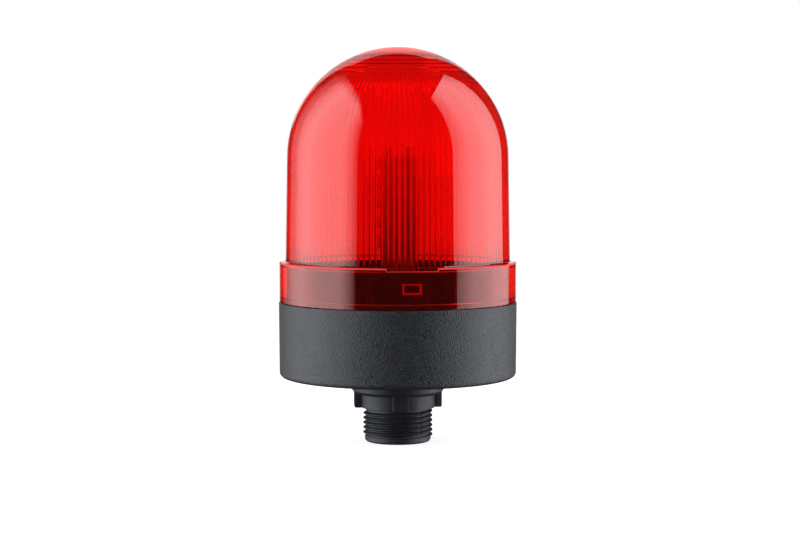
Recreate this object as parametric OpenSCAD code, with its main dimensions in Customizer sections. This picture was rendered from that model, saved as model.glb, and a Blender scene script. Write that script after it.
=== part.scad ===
// Red LED warning beacon with a fluted bayonet lens and a threaded mounting spigot.
// The origin is on the axis of the beacon, in the plane of its mounting face. +Z is up, -Y is the front.

/* [Base housing] */
// Diameter of the base at its upper edge
base_d = 90; // [88:0.5:96]
// Height of the base from its mounting face to the ledge under the lens
base_h = 28.4; // [27:0.2:34]
// Loss of radius from the upper edge of the base to its underside
base_draft = 0.16; // [0.04:0.02:0.4]
// Radius of the rounded lower edge of the base
base_edge_r = 2; // [1:0.1:3]
// Chamfer on the upper edge of the base
base_lip = 0.3; // [0.1:0.1:0.6]
// Thickness of the floor of the base
floor_t = 3; // [2.4:0.1:4]
// Wall thickness of the neck that stands inside the lens collar
neck_wall = 2.2; // [1.8:0.1:2.8]

/* [Lens] */
// Step from the upper edge of the base in to the lens collar
collar_inset = 0.2; // [0.1:0.05:0.6]
// Height of the outer wall of the lens collar above the ledge of the base
collar_h = 15.1; // [14:0.1:20]
// Rise of the sloping top of the collar up to the foot of the dome
collar_rise = 0.9; // [0.4:0.1:1.4]
// Wall thickness of the lens collar
collar_wall = 2.4; // [2.2:0.1:3]
// Thickness of the roof of the collar
collar_roof = 2.2; // [1.8:0.1:3.2]
// Radius of the rounded upper edge of the collar
collar_edge_r = 0.5; // [0.3:0.1:1.4]
// Step from the outside of the collar in to the foot of the dome
dome_step = 2.3; // [1.6:0.1:4]
// Loss of radius over the straight part of the dome
dome_draft = 0.65; // [0.2:0.05:1.2]
// Height of the straight part of the dome
dome_straight = 39.2; // [34:0.2:50]
// Wall thickness of the dome behind the flutes
dome_wall = 2.2; // [1.8:0.1:2.6]
// Number of flutes inside the dome
flute_count = 120; // [60:4:120]
// Depth of the flutes
flute_depth = 0.2; // [0.1:0.05:0.6]
// Latitude on the dome where the flutes end and the crown rings begin
flute_end = 50; // [40:1:60]
// Number of stepped rings in the crown
ring_count = 6; // [4:1:8]
// Lean of the ring walls, as a share of the step
ring_lean = 0.8; // [0.2:0.05:0.9]

/* [Bayonet] */
// Number of lugs inside the lens collar
lug_count = 3; // [2:1:4]
// Place of the first lug around the axis
lug_angle = -83.1; // [-120:0.1:-60]
// Width of a lug in degrees around the axis
lug_sweep = 9.2; // [6:0.2:12]
// Height of a lug
lug_h = 4; // [3:0.1:5]
// Height of the lug's foot above the ledge of the base
lug_rise = 5.6; // [4.6:0.1:7]
// Reach of a lug into the neck
lug_reach = 1.7; // [1.2:0.1:2]
// Width of the entry gap in the rim of the neck in degrees
entry_sweep = 24.3; // [20:0.1:30]
// Spare length of the track on its closed side in degrees
track_spare = 2.3; // [1:0.1:4]
// Turn that locks the lens, clockwise seen from above
lock_turn = 14; // [10:0.5:20]
// Height of the index notch in the upper edge of the collar
notch_h = 1; // [0.6:0.1:1.6]
// Depth of the index notch
notch_depth = 1; // [0.6:0.1:1.4]

/* [Lens seal] */
// Height of the seal ring between the ledge and the lens
seal_h = 2; // [1.4:0.1:3]
// Depth of the rebate for that ring in the foot of the collar
rebate_depth = 1.1; // [0.8:0.1:1.4]

/* [Spigot] */
// Major diameter of the mounting thread, a three-quarter inch pipe thread
thread_d = 26.44; // [25.4:0.01:30]
// Length of the threaded part
thread_len = 10.6; // [8:0.2:20]
// Step from the crest of the thread in to the plain lead-in end
lead_step = 0.72; // [0.4:0.02:1.1]
// Length of the plain lead-in end
lead_len = 2.3; // [1:0.1:4]
// Chamfer on the lead-in end
lead_chamfer = 0.6; // [0.2:0.1:1]
// Bore for the supply wires
wire_bore_d = 18; // [12:0.5:18.5]
// Depth of the recess for the ring flange in the underside of the base
ring_seat = 0.5; // [0.3:0.1:0.8]
// Step from the fins out to the ring flange under the base
ring_reach = 0.8; // [0.4:0.1:3]
// Height of the straight wall of the ring flange below the base
ring_h = 5.1; // [4:0.1:7]
// Chamfer on the lower edge of the ring flange
ring_chamfer = 1.3; // [0.6:0.1:2]
// Reach of a fin beyond the core
fin_reach = 2.45; // [1.8:0.05:3.6]
// Width of a fin
fin_w = 5.7; // [5:0.1:8]
// Height of the core below the ring flange
core_h = 5.4; // [4:0.1:8]
// Height of the fins' feet above the foot of the core
fin_lift = 0.3; // [0.2:0.05:0.8]
// Chamfer on the lower outer edge of a fin
fin_chamfer = 0.4; // [0.2:0.1:1.6]
// Place of the front fin around the axis
fin_angle = -86.2; // [-110:0.1:-60]
// Step from the crest of the thread out to the core between the fins
core_step = 0.98; // [0.5:0.02:2]
// Wall thickness of the stub that locates the spigot in the floor
stub_wall = 2; // [1.4:0.1:2.2]
// Number of fins, with a screw above each
fin_count = 4; // [3:1:4]
// Height of the ring seal around the stub
spigot_seal_h = 1.2; // [0.8:0.1:1.6]
// Width of the ring seal around the stub
spigot_seal_w = 1.1; // [0.8:0.1:1.2]

/* [Screws] */
// Distance of the spigot screws inside the outside of the core
spigot_screw_inset = 0.2; // [0:0.05:0.3]
// Shank diameter of the spigot screws
spigot_screw_d = 2.4; // [2:0.1:2.8]
// Head diameter of the spigot screws
spigot_screw_head_d = 4.8; // [4:0.1:5.4]
// Length of the spigot screws under their heads
spigot_screw_len = 10; // [8:0.5:12]
// Distance of the board screws from the edge of the control board
board_screw_inset = 6; // [5:0.1:7]
// Shank diameter of the board screws
board_screw_d = 2.8; // [2.4:0.1:3]
// Head diameter of the board screws
board_screw_head_d = 5.6; // [4.8:0.1:6]
// Length of the board screws under their heads
board_screw_len = 8; // [6:0.5:10]
// Diameter of the bosses under the control board
boss_d = 6.4; // [5.6:0.1:7.2]
// Number of board screws
board_screw_count = 3; // [3:1:4]
// Height of the screw heads
screw_head_h = 1.9; // [1.4:0.1:2.4]
// Width of the driver slots in the screw heads
slot_w = 0.7; // [0.5:0.1:1]

/* [Circuit boards] */
// Thickness of the control board
board_t = 1.6; // [1:0.1:2]
// Height of the space for the wires between the floor and the control board
wire_space = 9; // [8:0.5:14]
// Diameter of the hole that lets the wires through the control board
wire_hole_d = 8; // [6:0.5:9]
// Side of the square LED mast
mast_side = 13; // [12:0.5:18]
// Height of the upright LED boards above the control board
mast_h = 72; // [66:0.5:78]
// Thickness of the LED boards
led_board_t = 1.2; // [0.8:0.1:1.6]
// Width of the two tabs at the foot of an LED board
tab_w = 2.4; // [1.6:0.1:3]
// Distance between the middles of those tabs
tab_pitch = 6; // [5:0.1:7]

/* [LEDs] */
// Side of an LED package
led_side = 5; // [3:0.1:6]
// Height of an LED package
led_h = 1.5; // [1:0.1:2]
// Diameter of the window in an LED package
led_window_d = 4.2; // [2:0.1:4.6]
// Depth of the window in an LED package
led_window_depth = 0.3; // [0.1:0.1:0.6]
// Number of LEDs on an upright board
led_count = 5; // [3:1:6]
// Distance between neighbouring LEDs
led_pitch = 7.4; // [6.4:0.1:8]
// Distance of the uppermost LED below the top of its board
led_drop = 4.6; // [3.4:0.1:8]

/* [Terminal block] */
// Distance between the two poles
pole_pitch = 5.08; // [5:0.02:6]
// Depth of the block
terminal_depth = 8; // [7:0.1:10]
// Height of the block
terminal_h = 10; // [9:0.1:12]
// Side of the wire entry of a pole
wire_entry = 3.7; // [3.4:0.1:4]
// Height of the wire entries above the control board
entry_z = 1.4; // [1:0.1:2]
// Wall thickness behind the wire entries
entry_back = 2; // [1.2:0.1:3]
// Wall thickness of the clamps in the wire entries
clamp_wall = 0.5; // [0.4:0.1:0.8]
// Distance of the clamps behind the mouths of the wire entries
clamp_inset = 1; // [0.6:0.1:1.4]
// Depth of the clamp screws below the top of the block
clamp_screw_drop = 0.8; // [0.4:0.1:1.4]
// Distance from the block to the wire hole in the control board
wire_hole_space = 1; // [0.5:0.1:2]
// Distance from the wire hole to the edge of the control board
wire_hole_inset = 5; // [4:0.1:6]
// Diameter of the clamp screws
clamp_screw_d = 3.4; // [2.8:0.1:3.6]

/* [Components] */
// Distance of the capacitor and the inductor from the edge of the control board, across
can_inset = 13; // [11:0.1:15]
// Distance of the capacitor and the inductor in front of the axis
can_forward = 8; // [6:0.1:10]
// Distance from the bridge rectifier to the board screw beside it
rectifier_space = 2.85; // [2:0.05:3.5]
// Distance from the varistor to the board screw beside it
varistor_space = 2; // [1.5:0.1:3]
// Distance from the driver chip to the row of resistors
chip_space = 3.5; // [2:0.1:4]
// Diameter of the filter capacitor
capacitor_d = 10; // [8:0.5:11]
// Height of the filter capacitor
capacitor_h = 14; // [10:0.5:18]
// Height of the crimp around the filter capacitor
capacitor_crimp_z = 2.1; // [1.4:0.1:3]
// Depth of that crimp and of the dished top
capacitor_crimp = 0.3; // [0.2:0.1:0.5]
// Radius of the upper edge of the filter capacitor
capacitor_edge_r = 0.6; // [0.3:0.1:1]
// Diameter of the drum inductor
inductor_d = 9; // [7:0.5:10]
// Height of the drum inductor
inductor_h = 8.5; // [6:0.5:12]
// Thickness of the flanges of the drum inductor
inductor_flange = 1.4; // [1:0.1:2]
// Depth of the winding below the flanges
inductor_recess = 0.8; // [0.4:0.1:1.4]
// Diameter of the varistor disc
varistor_d = 8; // [6:0.5:9]
// Thickness of the varistor disc
varistor_t = 3.6; // [2.5:0.1:4.5]
// Length of the bridge rectifier
rectifier_l = 8.4; // [7:0.1:9]
// Width of the bridge rectifier
rectifier_w = 6.4; // [5:0.1:7]
// Height of the bridge rectifier
rectifier_h = 3.4; // [2.6:0.1:4]
// Distance between the pins on one side of the bridge rectifier
rectifier_pitch = 5; // [4:0.1:6]
// Thickness of those pins and height of the body above the board
rectifier_pin = 0.6; // [0.4:0.1:0.8]
// Length of the driver chip
chip_l = 5; // [4.6:0.1:6]
// Width of the body of the driver chip
chip_w = 3.9; // [3:0.1:4.4]
// Height of the driver chip
chip_h = 1.6; // [1.2:0.1:2]
// Width of a lead of the driver chip
chip_lead_w = 0.4; // [0.3:0.05:0.6]
// Distance between the leads of the driver chip
chip_lead_pitch = 1.27; // [1.1:0.01:1.4]
// Reach of the leads beyond the body of the driver chip
chip_lead_reach = 1.05; // [0.6:0.05:1.3]
// Height of the body of the driver chip above the board
chip_stand = 0.15; // [0.1:0.05:0.3]
// Length of a chip resistor
resistor_l = 3.1; // [2:0.1:3.2]
// Width of a chip resistor
resistor_w = 1.6; // [1.2:0.1:2]
// Height of a chip resistor
resistor_h = 0.6; // [0.4:0.1:0.8]
// Distance between neighbouring chip resistors
resistor_pitch = 3.4; // [2.4:0.1:3.6]
// Number of chip resistors in the row
resistor_count = 6; // [3:1:7]
// Distance from the row of resistors to the nearest board screw
resistor_space = 1.6; // [0.6:0.1:2]

/* [Clearances] */
// Gap between the foot of the lens collar and the ledge
collar_gap = 0.2; // [0.1:0.05:0.4]
// Gap between the neck and the lens collar around it
neck_gap = 0.35; // [0.3:0.05:0.5]
// Gap between the rim of the neck and the roof of the collar
rim_gap = 0.4; // [0.3:0.05:0.8]
// Gap around a lug in its track
lug_gap = 0.3; // [0.2:0.05:0.5]
// Gap around seals, stubs and tabs in their seats
seat_gap = 0.15; // [0.1:0.05:0.2]
// Gap between the edge of the control board and the inside of the neck
board_gap = 2.85; // [1:0.05:5]
// Gap around a screw in its hole
screw_gap = 0.1; // [0.05:0.05:0.3]

/* [Hidden] */
$fn = 96;
// How far a cutting shape runs past the faces that it cuts
cut = 1;
// How far joined shapes run into each other
lap = 0.5;

// Heights and radii of the lens
collar_r = base_d / 2 - collar_inset;
collar_in_r = collar_r - collar_wall;
collar_top_z = base_h + collar_h;
dome_foot_z = collar_top_z + collar_rise;
roof_z = dome_foot_z - collar_roof;
lens_foot_z = base_h + collar_gap;
dome_foot_r = collar_r - dome_step;
dome_r = dome_foot_r - dome_draft;
spring_z = collar_top_z + dome_straight;
dome_in_r = dome_r - dome_wall;
lug_r = collar_in_r - lug_reach;
lug_z = base_h + lug_rise;
rebate_r = collar_in_r + rebate_depth;
rebate_z = base_h + seal_h;

// Levels of the fluted hollow, from the roof of the collar up to the crown
flute_bands = 6;
flute_foot_z = roof_z - lap;
flute_levels = concat(
    [flute_foot_z, spring_z],
    [for (i = [1 : flute_bands]) spring_z + dome_in_r * sin(flute_end * i / flute_bands)]
);
crown_z = flute_levels[len(flute_levels) - 1];
ring_step = (spring_z + dome_in_r - crown_z) / ring_count;
flute_ridge = 1 - flute_depth / dome_in_r;

// Heights and radii of the neck and its bayonet tracks
neck_r = collar_in_r - neck_gap;
neck_in_r = neck_r - neck_wall;
neck_top_z = roof_z - rim_gap;
base_foot_r = base_d / 2 - base_draft;
lug_turn_play = asin(lug_gap / neck_r);
track_end = lock_turn + lug_sweep / 2 + lug_turn_play;
track_start = entry_sweep / 2 + track_spare;
track_foot_z = lug_z - lug_gap;
track_top_z = lug_z + lug_h + lug_gap;

// Heights and radii of the spigot
thread_r = thread_d / 2;
lead_r = thread_r - lead_step;
core_r = thread_r + core_step;
fin_r = core_r + fin_reach;
ring_r = fin_r + ring_reach;
stub_r = wire_bore_d / 2 + stub_wall;
spigot_screw_r = core_r - spigot_screw_inset;
fin_top_z = -ring_h - ring_chamfer;
core_foot_z = fin_top_z - core_h;
fin_foot_z = core_foot_z + fin_lift;
thread_end_z = core_foot_z - thread_len;
spigot_end_z = thread_end_z - lead_len;
stub_hole_r = stub_r + seat_gap;
spigot_seal_r = stub_hole_r + spigot_seal_w;
spigot_seal_top_z = ring_seat + spigot_seal_h;

// Heights of the boards
board_z = floor_t + wire_space;
board_top_z = board_z + board_t;
mast_top_z = board_top_z + mast_h;
led_board_w = mast_side - led_board_t;
led_board_x = -led_board_t / 2;

// Places of the screws and components on the control board
board_r = neck_in_r - board_gap;
board_screw_angle = 30;
board_screw_r = board_r - board_screw_inset;
screw_x = board_screw_r * cos(board_screw_angle);
screw_y = board_screw_r * sin(board_screw_angle);
capacitor_at = [can_inset - board_r, -can_forward];
inductor_at = [board_r - can_inset, -can_forward];
rectifier_at = [screw_x - board_screw_head_d / 2 - rectifier_space - rectifier_l / 2, screw_y];
varistor_at = [board_screw_head_d / 2 + varistor_space + varistor_d / 2 - screw_x, screw_y];
resistor_row_y = -board_screw_r + board_screw_head_d / 2 + resistor_space + resistor_l / 2;
chip_y = resistor_row_y + resistor_l / 2 + chip_space + chip_w / 2 + chip_lead_reach;
wire_hole_y = board_r - wire_hole_inset - wire_hole_d / 2;
terminal_y = wire_hole_y - wire_hole_d / 2 - wire_hole_space - terminal_depth / 2;
terminal_w = 2 * pole_pitch;
entry_depth = terminal_depth - entry_back;

// Radius of the dome's hollow at a height, behind the flutes
function hollow_r(z) =
    z < spring_z
        ? dome_in_r + dome_draft * (spring_z - z) / dome_straight
        : sqrt(max(0, dome_in_r * dome_in_r - (z - spring_z) * (z - spring_z)));

// Points of an arc from one angle to another
function arc(centre, r, from, to, steps = 8) =
    [for (i = [0 : steps]) let (a = from + (to - from) * i / steps) centre + r * [cos(a), sin(a)]];

// Piece of a ring between two radii, two heights and two angles
module ring_sector(r1, r2, z1, z2, from, to) {
    rotate([0, 0, from])
        rotate_extrude(angle = to - from)
            translate([r1, z1])
                square([r2 - r1, z2 - z1]);
}

// Plain ring around the axis
module tube(r1, r2, z1, z2) {
    rotate_extrude()
        translate([r1, z1])
            square([r2 - r1, z2 - z1]);
}

// Copies of the children on a circle, the first one at an angle
module around(count, from = 0) {
    for (i = [0 : count - 1])
        rotate([0, 0, from + 360 * i / count])
            children();
}

// Pan-head screw with a driver slot, standing head up with the underside of its head at the origin
module pan_screw(shank_d, head_d, length) {
    head_r = head_d / 2;
    difference() {
        union() {
            rotate_extrude()
                polygon(concat(
                    [[0, 0], [head_r, 0]],
                    arc([head_r - screw_head_h / 2, screw_head_h / 2], screw_head_h / 2, 0, 90, 4),
                    [[0, screw_head_h]]
                ));
            translate([0, 0, -length])
                cylinder(d = shank_d, h = length + lap);
        }
        translate([-head_r - cut, -slot_w / 2, screw_head_h / 2])
            cube([2 * head_r + 2 * cut, slot_w, screw_head_h]);
    }
}

// Hollow of the dome with its flutes, which run up the wall and converge on the crown
module fluted_hollow() {
    side = 2 * flute_count;
    levels = len(flute_levels);
    wall = [
        for (z = flute_levels, i = [0 : side - 1])
            let (r = hollow_r(z) * (i % 2 == 0 ? 1 : flute_ridge), a = 180 * i / flute_count)
                [r * cos(a), r * sin(a), z]
    ];
    foot = levels * side;
    head = foot + 1;
    points = concat(wall, [[0, 0, flute_foot_z], [0, 0, crown_z]]);
    bands = [
        for (k = [0 : levels - 2], i = [0 : side - 1])
            let (a = k * side + i, b = k * side + (i + 1) % side)
                [a, a + side, b + side, b]
    ];
    caps = [
        for (i = [0 : side - 1])
            let (j = (i + 1) % side, top = (levels - 1) * side)
                each [[foot, i, j], [head, top + j, top + i]]
    ];
    polyhedron(points, concat(bands, caps));
}

// Hollow of the crown, which narrows in stepped rings
module crown_hollow() {
    steps = [
        for (k = [0 : ring_count - 2])
            let (
                low = crown_z + k * ring_step,
                high = low + ring_step,
                lean = ring_lean * (hollow_r(low) - hollow_r(high))
            )
                each [[hollow_r(high) + lean, low], [hollow_r(high), high]]
    ];
    top = steps[len(steps) - 1][1];
    rotate_extrude()
        polygon(concat(
            [[0, crown_z - cut], [steps[0][0], crown_z - cut]],
            steps,
            [[0, top]]
        ));
}

// Outside of the lens: collar with a rounded edge and a sloping top, tapered wall and half ball
module lens_outside() {
    slope = atan(collar_rise / dome_step);
    edge = [collar_r - collar_edge_r, collar_top_z - collar_edge_r * tan(45 - slope / 2)];
    slope_end_z = dome_foot_z + lap * tan(slope);
    rotate_extrude()
        polygon(concat(
            [[0, lens_foot_z], [collar_r, lens_foot_z]],
            arc(edge, collar_edge_r, 0, 90 - slope),
            [[dome_foot_r - lap, slope_end_z], [0, slope_end_z]]
        ));
    translate([0, 0, roof_z])
        cylinder(r1 = hollow_r(roof_z) + dome_wall, r2 = dome_r, h = spring_z - roof_z);
    translate([0, 0, spring_z])
        rotate_extrude()
            intersection() {
                circle(r = dome_r);
                square(2 * dome_r);
            }
}

module dome_lens() {
    color([0.85, 0.03, 0.02, 0.75])
        difference() {
            union() {
                difference() {
                    lens_outside();
                    translate([0, 0, lens_foot_z - cut])
                        cylinder(r = collar_in_r, h = roof_z - lens_foot_z + cut);
                    translate([0, 0, lens_foot_z - cut])
                        cylinder(r = rebate_r, h = rebate_z - lens_foot_z + cut);
                    ring_sector(
                        collar_r - notch_depth, collar_r + cut,
                        collar_top_z - notch_h, dome_foot_z + cut,
                        lug_angle - entry_sweep / 2, lug_angle + entry_sweep / 2
                    );
                }
                around(lug_count, lug_angle)
                    ring_sector(
                        lug_r, collar_in_r + lap,
                        lug_z, lug_z + lug_h,
                        -lug_sweep / 2, lug_sweep / 2
                    );
            }
            fluted_hollow();
            crown_hollow();
        }
}

module lens_seal() {
    color([0.1, 0.1, 0.11])
        tube(neck_r + seat_gap, rebate_r - seat_gap, base_h, rebate_z);
}

// Tracks of the bayonet: an entry gap in the rim, and a window that runs on under the rim
module bayonet_tracks() {
    around(lug_count, lug_angle) {
        ring_sector(
            neck_in_r - cut, neck_r + cut, track_foot_z, track_top_z, -track_end, track_start
        );
        ring_sector(
            neck_in_r - cut, neck_r + cut, track_top_z - cut / 2, neck_top_z + cut,
            -entry_sweep / 2, entry_sweep / 2
        );
    }
}

module base_housing() {
    low_edge = [base_foot_r - base_edge_r, base_edge_r];
    color([0.17, 0.18, 0.19])
        difference() {
            union() {
                rotate_extrude()
                    polygon(concat(
                        [[0, 0]],
                        arc(low_edge, base_edge_r, -90, 0),
                        [
                            [base_d / 2, base_h - base_lip],
                            [base_d / 2 - base_lip, base_h],
                            [neck_r, base_h],
                            [neck_r, neck_top_z],
                            [neck_in_r, neck_top_z],
                            [neck_in_r, floor_t],
                            [0, floor_t]
                        ]
                    ));
                around(board_screw_count, board_screw_angle)
                    translate([board_screw_r, 0, floor_t - cut])
                        cylinder(d = boss_d, h = wire_space + cut);
            }
            bayonet_tracks();
            translate([0, 0, -cut])
                cylinder(r = stub_hole_r, h = floor_t + 2 * cut);
            translate([0, 0, -cut])
                cylinder(r = spigot_seal_r + seat_gap, h = spigot_seal_top_z + cut);
            translate([0, 0, -cut])
                cylinder(r = ring_r + seat_gap, h = ring_seat + cut);
            around(fin_count, fin_angle)
                translate([spigot_screw_r, 0, -cut])
                    cylinder(d = spigot_screw_d + 2 * seat_gap, h = floor_t + 2 * cut);
            around(board_screw_count, board_screw_angle)
                translate([board_screw_r, 0, board_top_z - board_screw_len - cut])
                    cylinder(d = board_screw_d + 2 * screw_gap, h = board_screw_len + cut);
        }
}

module threaded_spigot() {
    color([0.13, 0.13, 0.14])
        difference() {
            union() {
                rotate_extrude()
                    polygon([
                        [0, floor_t],
                        [stub_r, floor_t],
                        [stub_r, ring_seat],
                        [ring_r, ring_seat],
                        [ring_r, -ring_h],
                        [ring_r - ring_chamfer, fin_top_z],
                        [core_r, fin_top_z],
                        [core_r, core_foot_z],
                        [thread_r, core_foot_z],
                        [thread_r, thread_end_z],
                        [lead_r, thread_end_z],
                        [lead_r, spigot_end_z + lead_chamfer],
                        [lead_r - lead_chamfer, spigot_end_z],
                        [0, spigot_end_z]
                    ]);
                around(fin_count, fin_angle)
                    translate([0, fin_w / 2, 0])
                        rotate([90, 0, 0])
                            linear_extrude(fin_w)
                                polygon([
                                    [stub_r, -ring_h],
                                    [fin_r, -ring_h],
                                    [fin_r, fin_foot_z + fin_chamfer],
                                    [fin_r - fin_chamfer, fin_foot_z],
                                    [stub_r, fin_foot_z]
                                ]);
            }
            translate([0, 0, spigot_end_z - cut])
                cylinder(d = wire_bore_d, h = floor_t - spigot_end_z + 2 * cut);
            around(fin_count, fin_angle)
                translate([spigot_screw_r, 0, floor_t - spigot_screw_len - cut])
                    cylinder(d = spigot_screw_d + 2 * screw_gap, h = spigot_screw_len);
        }
}

module spigot_seal() {
    color([0.1, 0.1, 0.11])
        tube(stub_hole_r, spigot_seal_r, ring_seat, spigot_seal_top_z);
}

module spigot_screws() {
    color("silver")
        around(fin_count, fin_angle)
            translate([spigot_screw_r, 0, floor_t])
                pan_screw(spigot_screw_d, spigot_screw_head_d, spigot_screw_len);
}

// Tabs at the foot of an upright LED board, with a margin around them
module mast_tabs(margin) {
    for (side = [-1, 1])
        translate([
            led_board_x + side * tab_pitch / 2 - tab_w / 2 - margin,
            -mast_side / 2 - margin,
            board_z - margin
        ])
            cube([tab_w + 2 * margin, led_board_t + 2 * margin, board_t + 2 * margin + lap]);
}

module control_board() {
    color([0.05, 0.3, 0.13])
        difference() {
            translate([0, 0, board_z])
                cylinder(r = board_r, h = board_t);
            around(4)
                mast_tabs(seat_gap);
            around(board_screw_count, board_screw_angle)
                translate([board_screw_r, 0, board_z - cut])
                    cylinder(d = board_screw_d + 2 * seat_gap, h = board_t + 2 * cut);
            translate([0, wire_hole_y, board_z - cut])
                cylinder(d = wire_hole_d, h = board_t + 2 * cut);
        }
}

module board_screws() {
    color("silver")
        around(board_screw_count, board_screw_angle)
            translate([board_screw_r, 0, board_top_z])
                pan_screw(board_screw_d, board_screw_head_d, board_screw_len);
}

// Upright LED board at the front of the mast, which turns to the other three places
module led_board() {
    translate([led_board_x - led_board_w / 2, -mast_side / 2, board_top_z])
        cube([led_board_w, led_board_t, mast_h]);
    mast_tabs(0);
}

// LED package with a round window, lying face up at the origin
module led() {
    difference() {
        translate([-led_side / 2, -led_side / 2, 0])
            cube([led_side, led_side, led_h]);
        translate([0, 0, led_h - led_window_depth])
            cylinder(d = led_window_d, h = led_window_depth + cut);
    }
}

// Column of LEDs on the front board of the mast
module led_column() {
    for (i = [0 : led_count - 1])
        translate([led_board_x, -mast_side / 2, mast_top_z - led_drop - i * led_pitch])
            rotate([90, 0, 0])
                led();
}

module led_board_front() {
    color([0.05, 0.3, 0.13])
        led_board();
}

module led_board_right() {
    color([0.05, 0.3, 0.13])
        rotate([0, 0, 90])
            led_board();
}

module led_board_back() {
    color([0.05, 0.3, 0.13])
        rotate([0, 0, 180])
            led_board();
}

module led_board_left() {
    color([0.05, 0.3, 0.13])
        rotate([0, 0, 270])
            led_board();
}

module led_board_top() {
    color([0.05, 0.3, 0.13])
        translate([-mast_side / 2, -mast_side / 2, mast_top_z])
            cube([mast_side, mast_side, led_board_t]);
}

module leds_front() {
    color("ivory")
        led_column();
}

module leds_right() {
    color("ivory")
        rotate([0, 0, 90])
            led_column();
}

module leds_back() {
    color("ivory")
        rotate([0, 0, 180])
            led_column();
}

module leds_left() {
    color("ivory")
        rotate([0, 0, 270])
            led_column();
}

module led_top() {
    color("ivory")
        translate([0, 0, mast_top_z + led_board_t])
            led();
}

// Copies of the children at the two poles of the terminal block
module at_poles() {
    for (side = [-1, 1])
        translate([side * pole_pitch / 2, terminal_y, board_top_z])
            children();
}

module terminal_block() {
    color([0.1, 0.35, 0.2])
        difference() {
            translate([-terminal_w / 2, terminal_y - terminal_depth / 2, board_top_z])
                cube([terminal_w, terminal_depth, terminal_h]);
            at_poles() {
                translate([-wire_entry / 2, terminal_depth / 2 - entry_depth, entry_z])
                    cube([wire_entry, entry_depth + cut, wire_entry]);
                translate([0, 0, entry_z + wire_entry / 2])
                    cylinder(d = clamp_screw_d + 2 * screw_gap, h = terminal_h);
            }
        }
}

module terminal_screws() {
    low = entry_z + wire_entry - 2 * seat_gap;
    high = terminal_h - clamp_screw_drop;
    color("silver")
        at_poles()
            difference() {
                translate([0, 0, low])
                    cylinder(d = clamp_screw_d, h = high - low);
                translate([-clamp_screw_d, -slot_w / 2, high - slot_w])
                    cube([2 * clamp_screw_d, slot_w, slot_w + cut]);
            }
}

module terminal_clamps() {
    outer = wire_entry - 2 * seat_gap;
    hole = outer - 2 * clamp_wall;
    length = entry_depth - seat_gap - clamp_inset;
    color("silver")
        at_poles()
            translate([-outer / 2, terminal_depth / 2 - entry_depth + seat_gap, entry_z])
                difference() {
                    cube([outer, length, outer]);
                    translate([clamp_wall, -cut, clamp_wall])
                        cube([hole, length + 2 * cut, hole]);
                }
}

module bridge_rectifier() {
    color([0.12, 0.12, 0.12])
        translate([rectifier_at[0], rectifier_at[1], board_top_z]) {
            translate([-rectifier_l / 2, -rectifier_w / 2, rectifier_pin])
                cube([rectifier_l, rectifier_w, rectifier_h - rectifier_pin]);
            for (x = [-1, 1], turn = [0, 180])
                rotate([0, 0, turn])
                    translate([x * rectifier_pitch / 2 - rectifier_pin / 2, rectifier_w / 2 - lap, 0])
                        cube([rectifier_pin, lap + rectifier_pin, rectifier_h / 2]);
        }
}

module filter_capacitor() {
    r = capacitor_d / 2;
    rim = r - 2 * capacitor_edge_r;
    color([0.1, 0.14, 0.3])
        translate([capacitor_at[0], capacitor_at[1], board_top_z])
            rotate_extrude()
                polygon(concat(
                    [
                        [0, 0],
                        [r, 0],
                        [r, capacitor_crimp_z - capacitor_crimp],
                        [r - capacitor_crimp, capacitor_crimp_z],
                        [r, capacitor_crimp_z + capacitor_crimp]
                    ],
                    arc([r - capacitor_edge_r, capacitor_h - capacitor_edge_r], capacitor_edge_r, 0, 90, 4),
                    [
                        [rim, capacitor_h],
                        [rim - capacitor_crimp, capacitor_h - capacitor_crimp],
                        [0, capacitor_h - capacitor_crimp]
                    ]
                ));
}

module drum_inductor() {
    r = inductor_d / 2;
    color([0.2, 0.2, 0.21])
        translate([inductor_at[0], inductor_at[1], board_top_z]) {
            cylinder(r = r, h = inductor_flange);
            cylinder(r = r - inductor_recess, h = inductor_h - lap);
            translate([0, 0, inductor_h - inductor_flange])
                cylinder(r = r, h = inductor_flange);
        }
}

module driver_chip() {
    color([0.12, 0.12, 0.12])
        translate([0, chip_y, board_top_z]) {
            translate([-chip_l / 2, -chip_w / 2, chip_stand])
                cube([chip_l, chip_w, chip_h - chip_stand]);
            for (i = [-1.5 : 1.5], turn = [0, 180])
                rotate([0, 0, turn])
                    translate([i * chip_lead_pitch - chip_lead_w / 2, chip_w / 2 - lap, 0])
                        cube([chip_lead_w, lap + chip_lead_reach, chip_stand + chip_lead_w]);
        }
}

module varistor() {
    color([0.15, 0.3, 0.55])
        translate([varistor_at[0], varistor_at[1], board_top_z + varistor_d / 2])
            rotate([0, 0, 45])
                rotate([90, 0, 0])
                    rotate_extrude()
                        polygon(concat(
                            [[0, -varistor_t / 2]],
                            arc([varistor_d / 2 - varistor_t / 2, 0], varistor_t / 2, -90, 90, 8),
                            [[0, varistor_t / 2]]
                        ));
}

module chip_resistors() {
    color([0.12, 0.12, 0.12])
        for (i = [0 : resistor_count - 1])
            translate([
                (i - (resistor_count - 1) / 2) * resistor_pitch - resistor_w / 2,
                resistor_row_y - resistor_l / 2,
                board_top_z
            ])
                cube([resistor_w, resistor_l, resistor_h]);
}

dome_lens();
lens_seal();
base_housing();
threaded_spigot();
spigot_seal();
spigot_screws();
control_board();
board_screws();
led_board_front();
led_board_right();
led_board_back();
led_board_left();
led_board_top();
leds_front();
leds_right();
leds_back();
leds_left();
led_top();
terminal_block();
terminal_screws();
terminal_clamps();
bridge_rectifier();
filter_capacitor();
drum_inductor();
driver_chip();
varistor();
chip_resistors();
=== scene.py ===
"""Red LED warning beacon, dressed piece by piece in the order in which it is put together."""
import math

import bmesh
import bpy
from mathutils import Matrix, Vector


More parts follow.
